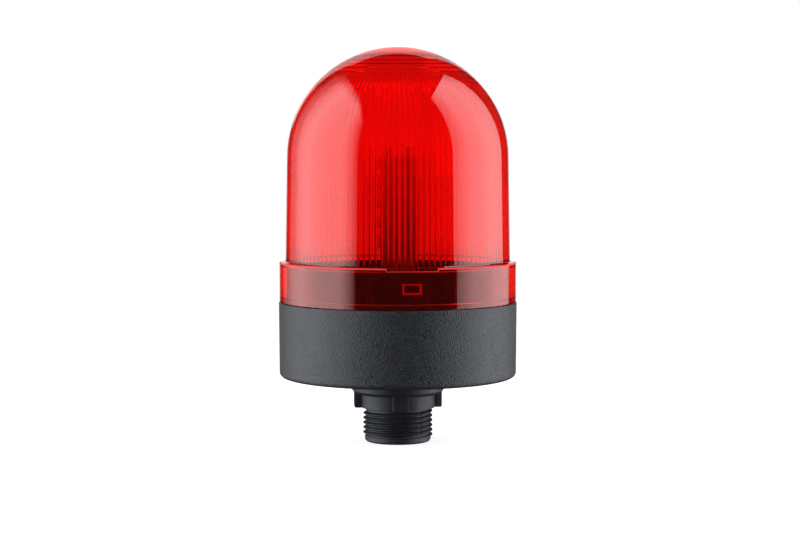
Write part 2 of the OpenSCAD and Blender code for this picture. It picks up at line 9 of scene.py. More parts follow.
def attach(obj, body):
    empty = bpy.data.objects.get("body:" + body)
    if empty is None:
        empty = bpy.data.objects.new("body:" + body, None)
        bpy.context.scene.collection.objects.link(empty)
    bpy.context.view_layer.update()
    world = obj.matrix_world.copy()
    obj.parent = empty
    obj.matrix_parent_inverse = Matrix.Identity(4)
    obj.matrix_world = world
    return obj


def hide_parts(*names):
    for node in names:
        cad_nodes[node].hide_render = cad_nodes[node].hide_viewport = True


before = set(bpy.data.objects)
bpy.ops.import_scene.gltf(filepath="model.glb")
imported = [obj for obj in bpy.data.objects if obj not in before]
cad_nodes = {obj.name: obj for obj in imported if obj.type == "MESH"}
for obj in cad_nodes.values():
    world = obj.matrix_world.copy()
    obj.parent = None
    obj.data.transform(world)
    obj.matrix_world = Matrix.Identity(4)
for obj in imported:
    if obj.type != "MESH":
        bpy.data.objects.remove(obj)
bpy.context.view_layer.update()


# Mounting spigot
# A hollow black nylon moulding with a ring flange, four fins and a three-quarter inch pipe thread.
# Four screws through the floor of the base hold it, and a locknut on its thread clamps the beacon to a panel.

def outline(corners):
    """Closed outline in the plane y = 0. A corner is a radius, a height and a rounding, in millimetres."""
    bm = bmesh.new()
    rounding = {bm.verts.new((r / 1000, 0, z / 1000)): ease for r, z, ease in corners}
    bm.faces.new(list(rounding))
    for corner, ease in rounding.items():
        if ease:
            bmesh.ops.bevel(bm, geom=[corner], offset=ease / 1000, offset_type="OFFSET", affect="VERTICES",
                            segments=max(3, round(4 * ease)), profile=0.5, material=-1)
    bmesh.ops.delete(bm, geom=bm.faces[:], context="FACES_ONLY")
    # A point close to each end of a long line keeps the shading of that wall straight.
    long_line, close_by = 0.004, 0.0003
    for line in [e for e in bm.edges if e.calc_length() > long_line]:
        start, end = line.verts
        near = bmesh.utils.edge_split(line, start, close_by / line.calc_length())[1]
        far_line = next(e for e in near.link_edges if end in e.verts)
        bmesh.utils.edge_split(far_line, end, close_by / far_line.calc_length())
    return bm


def spin_round(bm, geom, angle, steps, climb=0.0, **ways):
    """Spins geometry around the axis of the beacon, climbing by this many millimetres at each step."""
    bmesh.ops.spin(bm, geom=geom, cent=(0, 0, 0), axis=(0, 0, 1), dvec=(0, 0, climb / 1000),
                   angle=angle, steps=steps, **ways)


def full_turn(bm, steps):
    """Spins all that is drawn so far into a closed ring around the axis of the beacon."""
    spin_round(bm, bm.verts[:] + bm.edges[:], math.tau, steps, use_merge=True)
    bmesh.ops.remove_doubles(bm, verts=bm.verts[:], dist=1e-7)
    bmesh.ops.recalc_face_normals(bm, faces=bm.faces[:])


def turned(corners, steps):
    """Body of revolution around the axis of the beacon."""
    bm = outline(corners)
    full_turn(bm, steps)
    return bm


def turn_about(bm, angle, verts):
    """Turns points around the axis of the beacon."""
    bmesh.ops.rotate(bm, cent=(0, 0, 0), matrix=Matrix.Rotation(angle, 3, "Z"), verts=verts)


def ease_edges(bm, edges, size, segments):
    """Rounds edges by a size in millimetres. A single segment is a chamfer."""
    return bmesh.ops.bevel(bm, geom=edges, offset=size / 1000, offset_type="OFFSET", affect="EDGES",
                           segments=segments, profile=0.5, material=-1)


def add_piece(name, shapes, materials, body, node, crease=35):
    """One object out of finished shapes, in place of its plain CAD node."""
    mesh = bpy.data.meshes.new(name)
    whole = bmesh.new()
    for shape in shapes:
        shape.to_mesh(mesh)
        whole.from_mesh(mesh)
        shape.free()
    whole.to_mesh(mesh)
    whole.free()
    mesh.shade_smooth()
    mesh.set_sharp_from_angle(angle=math.radians(crease))
    for material in materials:
        mesh.materials.append(material)
    piece = bpy.data.objects.new(name, mesh)
    bpy.context.scene.collection.objects.link(piece)
    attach(piece, body)
    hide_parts(node)


def new_finish(name):
    """Material with its shader and the object's own coordinates."""
    material = bpy.data.materials.new(name)
    material.use_nodes = True
    tree = material.node_tree
    coords = tree.nodes.new("ShaderNodeTexCoord")
    return material, tree, tree.nodes["Principled BSDF"], coords.outputs["Object"]


def noise(tree, coords, size, detail=2.0):
    """Cloudy pattern with patches of about this size in millimetres."""
    texture = tree.nodes.new("ShaderNodeTexNoise")
    texture.inputs["Scale"].default_value = 1000 / size
    texture.inputs["Detail"].default_value = detail
    tree.links.new(coords, texture.inputs["Vector"])
    return texture.outputs["Fac"]


def between(tree, value, low, high, start=0.3, end=0.7):
    """Number that goes from low to high as value goes from start to end."""
    span = tree.nodes.new("ShaderNodeMapRange")
    for name, number in (("From Min", start), ("From Max", end), ("To Min", low), ("To Max", high)):
        span.inputs[name].default_value = number
    tree.links.new(value, span.inputs["Value"])
    return span.outputs["Result"]


def tint(tree, value, *stops):
    """Colour picked from stops, each a place from 0 to 1 and a colour."""
    ramp = tree.nodes.new("ShaderNodeValToRGB")
    elements = ramp.color_ramp.elements
    while len(elements) < len(stops):
        elements.new(0.5)
    for element, (place, colour) in zip(elements, stops):
        element.position = place
        element.color = (*colour, 1)
    tree.links.new(value, ramp.inputs["Fac"])
    return ramp.outputs["Color"]


def coloured(tree, shader, pattern, dark, light, start=0.3, end=0.7):
    """Colour of the surface, from dark to light as the pattern goes from start to end."""
    tree.links.new(tint(tree, pattern, (start, dark), (end, light)), shader.inputs["Base Color"])


def roughened(tree, shader, pattern, low, high):
    """Roughness of the surface, from low to high with the pattern."""
    tree.links.new(between(tree, pattern, low, high), shader.inputs["Roughness"])


def bumped(tree, shader, height, depth, strength=1.0):
    """Relief of this depth in millimetres on the shader's surface."""
    bump = tree.nodes.new("ShaderNodeBump")
    bump.inputs["Distance"].default_value = depth / 1000
    bump.inputs["Strength"].default_value = strength
    tree.links.new(height, bump.inputs["Height"])
    tree.links.new(bump.outputs["Normal"], shader.inputs["Normal"])


satin_black, tree, shader, coords = new_finish("satin_black_nylon")
coloured(tree, shader, noise(tree, coords, 9), (0.013, 0.0145, 0.019), (0.019, 0.021, 0.027))
roughened(tree, shader, noise(tree, coords, 2.5), 0.5, 0.6)
shader.inputs["Specular Tint"].default_value = (0.9, 0.95, 1.1, 1)
bumped(tree, shader, noise(tree, coords, 0.7), 0.02)

spigot_body = turned([
    (9.0, 3.0, 0.3), (11.0, 3.0, 0.3), (11.0, 0.5, 0), (17.45, 0.5, 0.15), (17.45, -5.1, 0.25),
    (16.15, -6.4, 0.25), (14.2, -6.4, 0.3), (14.2, -11.8, 0.25), (12.1, -11.8, 0.2), (12.1, -22.3, 0.2),
    (12.5, -22.5, 0.2), (12.5, -24.1, 0.25), (11.9, -24.7, 0.2), (9.0, -24.7, 0.4),
], 144)

# Each fin is made on the +X side, its lower outer edge chamfered, and turned on to make room for the next.
fins = bmesh.new()
fin_size = (4.65, 5.7, 7.15)
fin_middle = Vector((14.325, 0, -8.175)) / 1000
fin_turn = math.radians(-86.2)
for quarter in range(4):
    box = bmesh.ops.create_cube(fins, size=0.001)["verts"]
    bmesh.ops.scale(fins, vec=fin_size, verts=box)
    bmesh.ops.translate(fins, vec=fin_middle, verts=box)
    foot = [e for e in fins.edges if all(v.co.x > 0.0166 and v.co.z < -0.011 for v in e.verts)]
    ease_edges(fins, foot, 0.4, 1)
    outside = [e for e in fins.edges if all(v.co.x > 0.015 for v in e.verts)]
    ease_edges(fins, outside, 0.3, 2)
    turn_about(fins, math.tau / 4, fins.verts[:])
turn_about(fins, fin_turn, fins.verts[:])
bmesh.ops.recalc_face_normals(fins, faces=fins.faces[:])

# The thread is one ridge that winds up the core, fades in at its foot and runs into the shoulder above.
# A corner of the ridge is a radius and a height. Twice a turn the ridge dips, as at the seam of a mould.
thread = bmesh.new()
thread_pitch, thread_crest, thread_depth = 1.814, 13.21, 1.3
thread_foot, thread_turn = -22.73, math.radians(-100)
thread_turns, steps_a_turn = 5.7, 120
thread_steps = round(thread_turns * steps_a_turn)
fade_in, fade_out = 32, 12
first_dip, dip_rise = 17, 0.72
ridge_corners = (
    (11.8, -0.86), (12.12, -0.76), (13.06, -0.24), (thread_crest, -0.1),
    (thread_crest, 0.1), (13.06, 0.24), (12.12, 0.76), (11.8, 0.86),
)
ridge = [thread.verts.new((r / 1000, 0, (z + thread_foot) / 1000)) for r, z in ridge_corners]
ridge_edges = [thread.edges.new(pair) for pair in zip(ridge, ridge[1:] + ridge[:1])]
spin_round(thread, ridge + ridge_edges, math.tau * thread_steps / steps_a_turn, thread_steps,
           climb=thread_pitch / steps_a_turn)
thread.verts.ensure_lookup_table()
for k in range(thread_steps + 1):
    section = thread.verts[k * len(ridge):(k + 1) * len(ridge)]
    rise = min(1, k / fade_in, (thread_steps - k) / fade_out)
    if (k - first_dip) % (steps_a_turn // 2) == 0:
        rise = min(rise, dip_rise)
    shrink = 1 - (1 - rise) * thread_depth / thread_crest
    bmesh.ops.scale(thread, vec=(shrink, shrink, 1), verts=section)
bmesh.ops.holes_fill(thread, edges=[e for e in thread.edges if e.is_boundary], sides=0)
turn_about(thread, thread_turn, thread.verts[:])
bmesh.ops.recalc_face_normals(thread, faces=thread.faces[:])

add_piece("spigot", [spigot_body, fins, thread], [satin_black], "base", "threaded_spigot",
          crease=28)


# Base cup
# Black nylon, moulded in one piece with the neck that the lens locks on to.
# Its outside has the fine even grain of an eroded mould, and its matte neck has three bayonet tracks.

def combine(tree, operation, first, second=0.0):
    """Two values put together by a maths operation. The second one may be a plain number."""
    node = tree.nodes.new("ShaderNodeMath")
    node.operation = operation
    tree.links.new(first, node.inputs[0])
    if isinstance(second, float):
        node.inputs[1].default_value = second
    else:
        tree.links.new(second, node.inputs[1])
    return node.outputs[0]


grained_black, tree, shader, coords = new_finish("grained_black_nylon")
grain_size = 0.5
grain = tree.nodes.new("ShaderNodeTexVoronoi")
grain.inputs["Scale"].default_value = 1000 / grain_size
tree.links.new(coords, grain.inputs["Vector"])
pebbles = between(tree, grain.outputs["Distance"], 1, 0, 0.1, 0.7)
relief = combine(tree, "ADD", pebbles, noise(tree, coords, 0.42))
bumped(tree, shader, relief, 0.14)
coloured(tree, shader, relief, (0.008, 0.0095, 0.0125), (0.018, 0.0205, 0.026), 0.45, 1.0)
roughened(tree, shader, noise(tree, coords, 6), 0.36, 0.44)
shader.inputs["Specular Tint"].default_value = (0.92, 0.96, 1.04, 1)

cup = turned([
    (11.15, 3.0, 0.3), (11.15, 1.7, 0), (12.4, 1.7, 0), (12.4, 0.5, 0), (17.6, 0.5, 0), (17.6, 0.0, 0.15),
    (44.84, 0.0, 2.0), (45.0, 28.4, 0.35), (39.85, 28.4, 0), (39.85, 3.0, 0.8),
], 240)

neck_black, tree, shader, coords = new_finish("matte_black_nylon")
drift = noise(tree, coords, 5)
coloured(tree, shader, drift, (0.006, 0.0062, 0.007), (0.010, 0.0104, 0.012))
roughened(tree, shader, drift, 0.68, 0.8)
shader.inputs["Specular IOR Level"].default_value = 0.2
bumped(tree, shader, noise(tree, coords, 0.8), 0.02)

# Each track runs along the neck at the height of the lugs, and an entry above it lets the lug in.
lug_turn = -83.1
neck_out, neck_wall = 42.05, 2.2
neck_foot, track_low, track_high, neck_top = 28.2, 33.7, 38.3, 41.8
track_from, track_to, entry = -19, 15, 24.3
neck = bmesh.new()
levels = [neck.verts.new((neck_out / 1000, 0, z / 1000))
          for z in (neck_foot, track_low, track_high, neck_top)]
for pair in zip(levels, levels[1:]):
    neck.edges.new(pair)
full_turn(neck, 360)
tracks = []
for face in neck.faces:
    middle = face.calc_center_median() * 1000
    turn = (math.degrees(math.atan2(middle.y, middle.x)) + 60) % 120 - 60
    in_track = track_low < middle.z < track_high and track_from < turn < track_to
    if in_track or middle.z > track_high and abs(turn) < entry / 2:
        tracks.append(face)
bmesh.ops.delete(neck, geom=tracks, context="FACES")
bmesh.ops.solidify(neck, geom=neck.faces[:], thickness=neck_wall / 1000)
turn_about(neck, math.radians(lug_turn), neck.verts[:])

# A thin lining inside the neck closes the backs of the tracks.
lining = turned([(39.9, 28.3, 0), (40.5, 28.3, 0), (40.5, 41.7, 0), (39.9, 41.7, 0)], 240)

# Three slightly tapered bosses carry the control board.
bosses = bmesh.new()
boss_circle, boss_middle = 0.031, 0.00725
for turn in (30, 150, 270):
    a = math.radians(turn)
    boss = bmesh.ops.create_cone(bosses, cap_ends=True, segments=48, radius1=0.0032, radius2=0.0031,
                                 depth=0.0095)["verts"]
    bmesh.ops.translate(bosses, vec=(boss_circle * math.cos(a), boss_circle * math.sin(a), boss_middle),
                        verts=boss)

for shape in (neck, lining, bosses):
    for face in shape.faces:
        face.material_index = 1
add_piece("base_cup", [cup, neck, lining, bosses], [grained_black, neck_black], "base", "base_housing")


# Rubber seals
# Two black rubber rings: one around the stub of the spigot, one between the ledge of the base and the lens.
# They keep their plain turned shape and are pressed in place.

def dress(material, *names):
    """Gives CAD nodes their finish. Their shapes are right as they are."""
    for name in names:
        materials = cad_nodes[name].data.materials
        materials.clear()
        materials.append(material)


soft_rubber, tree, shader, coords = new_finish("black_seal_rubber")
dust = noise(tree, coords, 1.5, 4)
coloured(tree, shader, dust, (0.012, 0.012, 0.013), (0.03, 0.03, 0.031), 0.35, 0.75)
roughened(tree, shader, dust, 0.7, 0.85)
bumped(tree, shader, noise(tree, coords, 0.4), 0.03)
dress(soft_rubber, "spigot_seal", "lens_seal")


# Screws and clamps
# Zinc-plated steel: slotted pan-head screws for the spigot and the control board, and the screws and cages
# that clamp the supply wires in the terminal block.

zinc_plate, tree, shader, coords = new_finish("zinc_plated_steel")
stain = noise(tree, coords, 1.2, 4)
coloured(tree, shader, stain, (0.46, 0.47, 0.48), (0.66, 0.66, 0.65))
roughened(tree, shader, stain, 0.25, 0.42)
shader.inputs["Metallic"].default_value = 1.0
bumped(tree, shader, noise(tree, coords, 0.15), 0.01)
dress(zinc_plate, "spigot_screws", "board_screws", "terminal_screws", "terminal_clamps")


# Circuit boards
# Glass-fibre boards: a round one with green solder resist over its copper tracks, on the bosses of the base,
# four upright LED boards that plug into it by their tabs, and a square one on top of them. The LED boards are
# pale along the middle and the edges and grey-green between.

solder_resist, tree, shader, coords = new_finish("green_solder_resist")
lane_gap = 4.2
lanes = tree.nodes.new("ShaderNodeTexVoronoi")
lanes.feature = "DISTANCE_TO_EDGE"
lanes.inputs["Scale"].default_value = 1000 / lane_gap
lanes.inputs["Randomness"].default_value = 0.55
tree.links.new(coords, lanes.inputs["Vector"])
copper = between(tree, lanes.outputs["Distance"], 1, 0, 0.05, 0.075)
coloured(tree, shader, copper, (0.006, 0.055, 0.022), (0.012, 0.115, 0.04), 0.1, 0.9)
roughened(tree, shader, noise(tree, coords, 1.5), 0.22, 0.34)
bumped(tree, shader, copper, 0.035)
dress(solder_resist, "control_board")


def axes(tree, coords):
    """Coordinates split into X, Y and Z."""
    split = tree.nodes.new("ShaderNodeSeparateXYZ")
    tree.links.new(coords, split.inputs[0])
    return split.outputs


def painted_mast_shade(tree, colour, coords):
    """Colour with painted shade: darker and warmer towards the foot of the mast, and lighter near its top as
    if lit from above.
    """
    mast_foot, mast_top = 0.045, 0.087
    height = between(tree, axes(tree, coords)["Z"], 0, 1, mast_foot, mast_top)
    # Painted shade: a dark warm grey at the foot, the plain colour higher up, and painted light above it at
    # the top.
    painted_foot_shade = tint(tree, height, (0.0, (0.36, 0.34, 0.32)), (0.86, (1, 1, 1)), (0.94, (1.4, 1.4, 1.4)))
    shade = tree.nodes.new("ShaderNodeMix")
    shade.data_type = "RGBA"
    shade.blend_type = "MULTIPLY"
    shade.inputs["Factor"].default_value = 1.0
    tree.links.new(colour, shade.inputs["A"])
    tree.links.new(painted_foot_shade, shade.inputs["B"])
    return shade.outputs["Result"]


board_resist, tree, shader, coords = new_finish("banded_solder_resist")
half_board = 0.0065
spot = axes(tree, coords)
across = combine(tree, "MINIMUM", combine(tree, "ABSOLUTE", spot["X"]), combine(tree, "ABSOLUTE", spot["Y"]))
bands = tint(tree, between(tree, across, 0, 1, 0, half_board), (0.36, (0.62, 0.60, 0.55)),
             (0.46, (0.40, 0.44, 0.36)), (0.62, (0.40, 0.44, 0.36)), (0.72, (0.64, 0.62, 0.57)))
# The boards get painted shade towards the foot of the mast and painted light at its top.
tree.links.new(painted_mast_shade(tree, bands, coords), shader.inputs["Base Color"])
roughened(tree, shader, noise(tree, coords, 2.5, 3), 0.3, 0.42)
bumped(tree, shader, noise(tree, coords, 0.6), 0.012)
dress(board_resist, "led_board_front", "led_board_right", "led_board_back", "led_board_left", "led_board_top")


# LEDs
# White square packages with a round well of yellow phosphor, five up each side of the mast and one on top.
# They are soldered flat on their boards.

white_package, tree, shader, coords = new_finish("white_led_package")
haze = noise(tree, coords, 0.8, 3)
package = tint(tree, haze, (0.3, (0.54, 0.54, 0.51)), (0.7, (0.60, 0.60, 0.57)))
# The packages get the same painted shade and painted light.
tree.links.new(painted_mast_shade(tree, package, coords), shader.inputs["Base Color"])
roughened(tree, shader, haze, 0.4, 0.55)
bumped(tree, shader, noise(tree, coords, 0.25), 0.01)

# The sides of the packages are painted paler than their tops: painted light that lifts the shade beside the
# LEDs.
paler_led_side, tree, shader, coords = new_finish("led_side_with_painted_light")
haze = noise(tree, coords, 0.8, 3)
coloured(tree, shader, haze, (0.84, 0.83, 0.80), (0.90, 0.89, 0.86))
roughened(tree, shader, haze, 0.4, 0.55)

phosphor, tree, shader, coords = new_finish("yellow_phosphor")
speck = noise(tree, coords, 0.3, 3)
yellow = tint(tree, speck, (0.3, (0.50, 0.41, 0.07)), (0.7, (0.57, 0.48, 0.10)))
# The phosphor gets the same painted shade and painted light.
tree.links.new(painted_mast_shade(tree, yellow, coords), shader.inputs["Base Color"])
roughened(tree, shader, speck, 0.3, 0.45)

package_side, package_height = 5, 1.5
well_radius, well_depth, well_taper = 2.1, 0.3, 0.92


def led_package():
    """Package that lies face up at the origin: top and well first, then phosphor, then sides."""
    bm = bmesh.new()
    box = bmesh.ops.create_cube(bm, size=0.001)["verts"]
    bmesh.ops.scale(bm, vec=(package_side, package_side, package_height), verts=box)
    bmesh.ops.translate(bm, vec=(0, 0, package_height / 2000), verts=box)
    uprights = [e for e in bm.edges if abs(e.verts[0].co.z - e.verts[1].co.z) > 0.001]
    ease_edges(bm, uprights, 0.4, 2)
    top = max(bm.faces, key=lambda f: f.calc_center_median().z)
    for face in bm.faces:
        if face != top:
            face.material_index = 2
    rim = top.edges[:]
    well = bmesh.ops.create_circle(bm, cap_ends=False, segments=36, radius=well_radius / 1000)["verts"]
    bmesh.ops.translate(bm, vec=(0, 0, package_height / 1000), verts=well)
    well_edges = [e for e in bm.edges if all(v in well for v in e.verts)]
    bmesh.ops.delete(bm, geom=[top], context="FACES_ONLY")
    bmesh.ops.triangle_fill(bm, edges=rim + well_edges, use_beauty=True)
    wall = bmesh.ops.extrude_edge_only(bm, edges=well_edges)["geom"]
    low = [v for v in wall if isinstance(v, bmesh.types.BMVert)]
    bmesh.ops.translate(bm, vec=(0, 0, -well_depth / 1000), verts=low)
    bmesh.ops.scale(bm, vec=(well_taper, well_taper, 1), verts=low)
    low_edges = [e for e in wall if isinstance(e, bmesh.types.BMEdge) and all(v in low for v in e.verts)]
    pool = bmesh.ops.contextual_create(bm, geom=low_edges)
    pool["faces"][0].material_index = 1
    return bm


def led_piece(name, node, places):
    """Packages on one board, each turned and moved to its place."""
    shapes = []
    for place in places:
        bm = led_package()
        bmesh.ops.transform(bm, matrix=place, verts=bm.verts[:])
        bmesh.ops.recalc_face_normals(bm, faces=bm.faces[:])
        shapes.append(bm)
    add_piece(name, shapes, [white_package, phosphor, paler_led_side], "base", node)


upper_led, led_spacing, led_aside = 81.0, 7.4, -0.0006
led_heights = [upper_led - led_spacing * i for i in range(5)]
on_edge = Matrix.Rotation(math.radians(90), 4, "X")
for side, turn in (("front", 0), ("right", 90), ("back", 180), ("left", 270)):
    face_out = Matrix.Rotation(math.radians(turn), 4, "Z")
    led_piece("led_row_" + side, "leds_" + side, [
        face_out @ Matrix.Translation((led_aside, -half_board, z / 1000)) @ on_edge for z in led_heights])
led_piece("led_crown", "led_top", [Matrix.Translation((0, 0, 0.0868))])


# Terminal block
# A green nylon block with two wire entries at the back, for the two supply wires.
# It is soldered to the control board, and its screws are reached when the lens is off.

block_green, tree, shader, coords = new_finish("green_nylon")
drift = noise(tree, coords, 3, 3)
coloured(tree, shader, drift, (0.02, 0.17, 0.06), (0.03, 0.22, 0.08))
roughened(tree, shader, drift, 0.45, 0.58)
bumped(tree, shader, noise(tree, coords, 0.4), 0.02)
dress(block_green, "terminal_block")


# Components of the driver
# Black epoxy for the bridge rectifier, the driver chip and the resistors, a dark blue sleeve on the
# capacitor, grey ferrite for the drum inductor and blue dipped epoxy for the varistor.
# All of them are soldered to the control board.

def component_finish(name, dark, light, rough, size):
    """Finish of a small component, a little uneven in colour, gloss and surface."""
    material, tree, shader, coords = new_finish(name)
    drift = noise(tree, coords, size, 3)
    coloured(tree, shader, drift, dark, light)
    roughened(tree, shader, drift, rough - 0.06, rough + 0.08)
    bumped(tree, shader, noise(tree, coords, size / 4), 0.015)
    return material


moulded_epoxy = component_finish("black_epoxy", (0.014, 0.014, 0.015), (0.026, 0.026, 0.027), 0.55, 1.2)
shrink_sleeve = component_finish("dark_blue_sleeve", (0.008, 0.014, 0.06), (0.014, 0.024, 0.09), 0.28, 3.0)
grey_ferrite = component_finish("grey_ferrite", (0.03, 0.03, 0.032), (0.055, 0.055, 0.058), 0.6, 1.0)
dipped_blue = component_finish("blue_dipped_epoxy", (0.015, 0.07, 0.24), (0.03, 0.11, 0.32), 0.3, 2.0)
dress(moulded_epoxy, "bridge_rectifier", "driver_chip", "chip_resistors")
dress(shrink_sleeve, "filter_capacitor")
dress(grey_ferrite, "drum_inductor")
dress(dipped_blue, "varistor")


# Lens
# Clear red polycarbonate, moulded in one piece: a polished dome with 120 upright flutes and fine crown rings
# inside, and a wider collar with three lugs that lock in the tracks of the neck. The ribs of the flutes are
# satin, and the upper edge of the collar and the edges of the lugs keep a matte mould finish.

lens_ior = 1.55


def clear_finish(name, low, high):
    """Finish of the clear red polycarbonate, with a roughness from low to high."""
    material, tree, shader, coords = new_finish(name)
    coloured(tree, shader, noise(tree, coords, 30), (0.94, 0.010, 0.003), (0.95, 0.013, 0.004))
    roughened(tree, shader, noise(tree, coords, 4), low, high)
    shader.inputs["Transmission Weight"].default_value = 1.0
    shader.inputs["IOR"].default_value = lens_ior
    return material, tree, shader, coords


satin_red = clear_finish("satin_red_ribs", 0.16, 0.22)[0]
clear_red, tree, shader, coords = clear_finish("clear_red_polycarbonate", 0.015, 0.035)
bumped(tree, shader, noise(tree, coords, 14), 0.02, 0.5)

matte_red, tree, shader, coords = new_finish("matte_red_edge")
depth = noise(tree, coords, 3)
coloured(tree, shader, depth, (0.95, 0.012, 0.004), (0.97, 0.018, 0.006))
roughened(tree, shader, depth, 0.5, 0.65)
shader.inputs["Transmission Weight"].default_value = 0.4
shader.inputs["IOR"].default_value = lens_ior

flutes, flute_end = 120, 50
spring, dome_out, dome_in = 82.7, 41.85, 39.65
wall_height, wall_draft = 39.2, 0.65
crown_z = spring + dome_in * math.sin(math.radians(flute_end))


def hollow(z):
    """Radius of the dome's hollow at a height, in the valleys of the flutes."""
    if z < spring:
        return dome_in + wall_draft * (spring - z) / wall_height
    return math.sqrt(dome_in ** 2 - (z - spring) ** 2)


# The outline runs up the outside, over the top, and down the inside: cap, rings, flutes and collar.
collar_out, collar_in, collar_foot, collar_roof = 44.8, 42.4, 28.6, 42.2
outer_steps, flute_steps = 20, 14
lens_corners = [(collar_out, collar_foot, 0.25), (collar_out, 43.5, 0.5), (42.5, 43.65, 0.85)]
lens_corners += [(dome_out, spring, 0)]
lens_corners += [(dome_out * math.cos(a), spring + dome_out * math.sin(a), 0)
                 for a in (math.radians(90 * i / outer_steps) for i in range(1, outer_steps))]
lens_corners += [(0, spring + dome_out, 0)]
lens_corners += [(hollow(z), z, 0) for z in (spring + dome_in, 122.3, 122.15, 121.9, 121.5, 121.0, 120.5)]
ring_levels = [crown_z, 114.6, 115.95, 117.3, 118.65, 120.0]
for low, high in zip(ring_levels[-2::-1], ring_levels[:0:-1]):
    lens_corners += [(hollow(high), high, 0), (0.3 * hollow(high) + 0.7 * hollow(low), low, 0)]
flute_levels = [spring + dome_in * math.sin(math.radians(flute_end * i / flute_steps))
                for i in range(flute_steps, 0, -1)]
flute_levels += [spring, 62.0, collar_roof]
lens_corners += [(hollow(z), z, 0) for z in flute_levels]
lens_corners += [(collar_in, collar_roof, 0.2), (collar_in, 38.0, 0), (collar_in, 34.0, 0),
                 (collar_in, 30.4, 0.2), (43.5, 30.4, 0.15), (43.5, collar_foot, 0.15)]
lens = outline(lens_corners)

# Points of the fluted wall are marked 1, and those of the collar's upper edge count up from 2.
part_of = lens.verts.layers.int.new("part_of")
fluted, shoulder_start = 1, 2
for v in lens.verts:
    r, z = v.co.x * 1000, v.co.z * 1000
    if 41 < z < crown_z + 0.001 and abs(r - hollow(z)) < 0.002:
        v[part_of] = fluted
shoulder = sorted((v for v in lens.verts if v.co.x > 0.0439 and v.co.z > 0.0424), key=lambda v: v.co.z)
for place, v in enumerate(shoulder, shoulder_start):
    v[part_of] = place
on_axis = [e for e in lens.edges if all(v.co.x < 1e-7 for v in e.verts)]
bmesh.ops.delete(lens, geom=on_axis, context="EDGES")

# Each flute is a plain strip of wall with a narrow rounded rib beside it, which fades out under the crown.
# A column of the rib is its place across the flute and its share of the rib's height.
rib = ((0.11, 0), (0.175, 0.3), (0.24, 0.67), (0.31, 1), (0.38, 0.67), (0.445, 0.3), (0.51, 0))
rib_from, rib_to = rib[0][0], rib[-1][0]
rib_height, rib_fade = 0.165, 0.003
columns = len(rib)
one_flute = math.tau / flutes
spin_round(lens, lens.verts[:] + lens.edges[:], one_flute, columns)
column_of = {v: round(math.atan2(v.co.y, v.co.x) / one_flute * columns)
             for v in lens.verts if v[part_of] == fluted}
for c, (place, share) in enumerate((*rib, (1 + rib_from, 0))):
    column = [v for v in column_of if column_of[v] == c]
    for v in column:
        ease = min(1, (crown_z / 1000 - v.co.z) / rib_fade)
        v.co.xy *= 1 - rib_height / dome_in * share * ease
    turn_about(lens, (place - c / columns) * one_flute, column)
for face in lens.faces:
    place = math.atan2(*face.calc_center_median().yx) / one_flute
    if rib_from < place < rib_to and all(v[part_of] == fluted for v in face.verts):
        face.material_index = 2
spin_round(lens, lens.verts[:] + lens.edges[:] + lens.faces[:], math.tau - one_flute, flutes - 1,
           use_duplicate=True)
bmesh.ops.remove_doubles(lens, verts=lens.verts[:], dist=2e-6)
bmesh.ops.recalc_face_normals(lens, faces=lens.faces[:])


def turn_of(co):
    """Place around the axis in degrees."""
    return math.degrees(math.atan2(co.y, co.x))


# The index notch is a shelf in the upper edge of the collar, above the front lug. Its ends are upright.
notch_from, notch_to = -286 / 3, -71
inset, end_gap = 0.1, 0.02
one_column = 360 / flutes / columns
shelf = [(collar_out, 42.3), (collar_out, 42.5), (43.8, 42.5), (43.8, 43.1), (43.8, 43.55)]
for v in lens.verts:
    turn = turn_of(v.co)
    if v[part_of] < shoulder_start or not notch_from + inset < turn < notch_to - inset:
        continue
    if turn < notch_from + 1.5 * one_column:
        turn = notch_from + end_gap
    elif turn > notch_to - 1.5 * one_column:
        turn = notch_to - end_gap
    r, z = shelf[v[part_of] - shoulder_start]
    v.co = Vector((r * math.cos(math.radians(turn)), r * math.sin(math.radians(turn)), z)) / 1000
for face in lens.faces:
    in_notch = notch_from < turn_of(face.calc_center_median()) < notch_to
    steps_up = [v[part_of] for v in face.verts]
    on_shelf_edge = min(steps_up) == shoulder_start and max(steps_up) == shoulder_start + 1
    if in_notch and on_shelf_edge or not in_notch and min(steps_up) > shoulder_start:
        face.material_index = 1

# The lugs grow inwards from patches of the collar's wall.
lug_low, lug_high, lug_half_width, lug_tip = 0.0341, 0.0379, 4.55, 40.7
for third in range(3):
    lug_middle = lug_turn + 120 * third
    patch = []
    for face in lens.faces:
        middle = face.calc_center_median()
        in_wall = lug_low < middle.z < lug_high and 0.0418 < math.hypot(*middle.xy) < 0.043
        if in_wall and abs((turn_of(middle) - lug_middle + 180) % 360 - 180) < lug_half_width:
            patch.append(face)
    lug = bmesh.ops.extrude_face_region(lens, geom=patch)["geom"]
    tip = [v for v in lug if isinstance(v, bmesh.types.BMVert)]
    bmesh.ops.delete(lens, geom=patch, context="FACES")
    bmesh.ops.scale(lens, vec=(lug_tip / collar_in, lug_tip / collar_in, 1), verts=tip)
    tip_faces = {f for v in tip for f in v.link_faces if all(w in tip for w in f.verts)}
    rim = [e for f in tip_faces for e in f.edges if sum(g in tip_faces for g in e.link_faces) == 1]
    for face in ease_edges(lens, rim, 0.7, 2)["faces"]:
        face.material_index = 1
bmesh.ops.recalc_face_normals(lens, faces=lens.faces[:])

add_piece("lens", [lens], [clear_red, matte_red, satin_red], "lens", "dome_lens", crease=15)


# Floor and light
# The beacon stands on the end of its spigot on a plain pale floor, between two large soft lamps, with a third
# one behind and above it. The floor and the world look pale to the camera and through the lens.

pale_floor, tree, shader, coords = new_finish("pale_floor")
tree.nodes.remove(shader)
matte = tree.nodes.new("ShaderNodeBsdfDiffuse")
grey = tint(tree, noise(tree, coords, 400), (0.3, (0.60, 0.60, 0.60)), (0.7, (0.62, 0.62, 0.62)))
tree.links.new(grey, matte.inputs["Color"])

